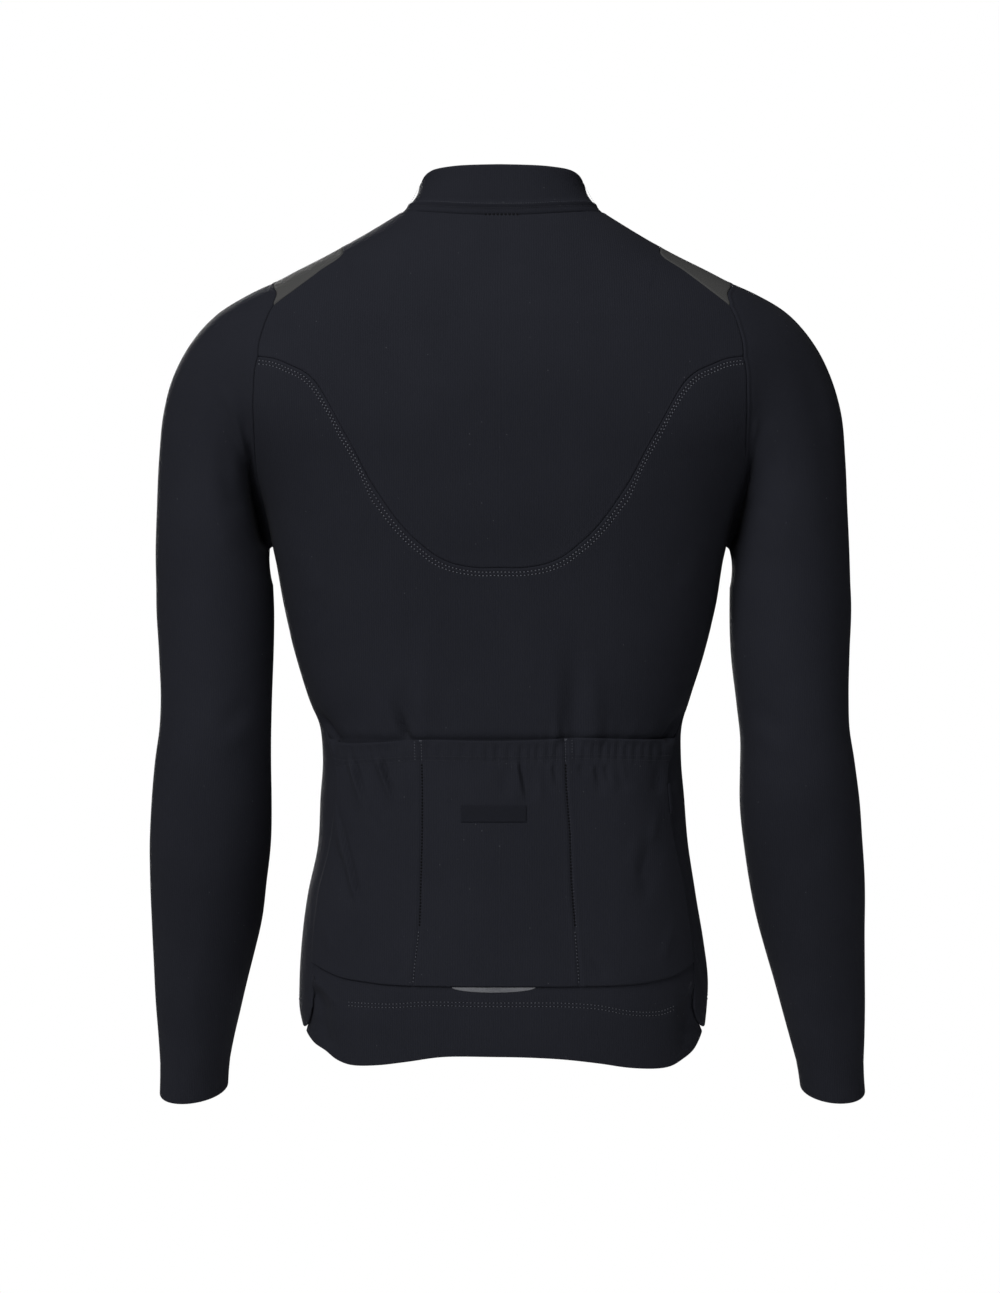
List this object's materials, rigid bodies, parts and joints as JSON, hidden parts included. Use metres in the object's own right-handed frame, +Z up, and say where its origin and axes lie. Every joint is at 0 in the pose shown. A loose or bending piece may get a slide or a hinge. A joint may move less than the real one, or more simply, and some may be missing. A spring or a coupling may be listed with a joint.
{
  "type": "cycling jacket",
  "caption": "Long-sleeved cycling jacket with a stand-up collar, full-length front zip, back pockets and a dropped tail, in its worn hollow shape.",
  "frame": {"origin": "middle of the neck at the height of the neck seam on the centre back, where the wearer holds the jacket", "axes": "+Z up, +Y towards the wearer's front, +X towards the wearer's right"},
  "size_m": [0.5941, 0.2271, 0.7717],
  "materials": {
    "black_knit": "fine matt knit with a soft sheen",
    "grey_knit": "grey twill-faced knit",
    "reflective": "reflective film on knit",
    "zip_tape": "woven tape with moulded coil teeth",
    "dark_metal": "satin dark coating"
  },
  "bodies": {
    "jacket": {"back_yoke": "black_knit", "back_body": "black_knit", "pocket_panel": "black_knit", "front_left": "black_knit", "front_right": "black_knit", "shoulder_panel_left": "grey_knit", "shoulder_panel_right": "grey_knit", "sleeve_left": "black_knit", "sleeve_right": "black_knit", "collar": "black_knit", "front_zip": "zip_tape", "zip_slider": "dark_metal", "pocket_label": "black_knit", "reflective_tab": "reflective", "side_tab": "black_knit"},
    "zip_pull": {"zip_pull": "dark_metal"}
  },
  "joints": [
    {"name": "zip_pull_swing", "type": "hinge", "parent": "jacket", "child": "zip_pull", "pos_m": [0, 0.06381, -0.04492], "axis": [1, 0, 0], "range_deg": [0, 160]}
  ]
}
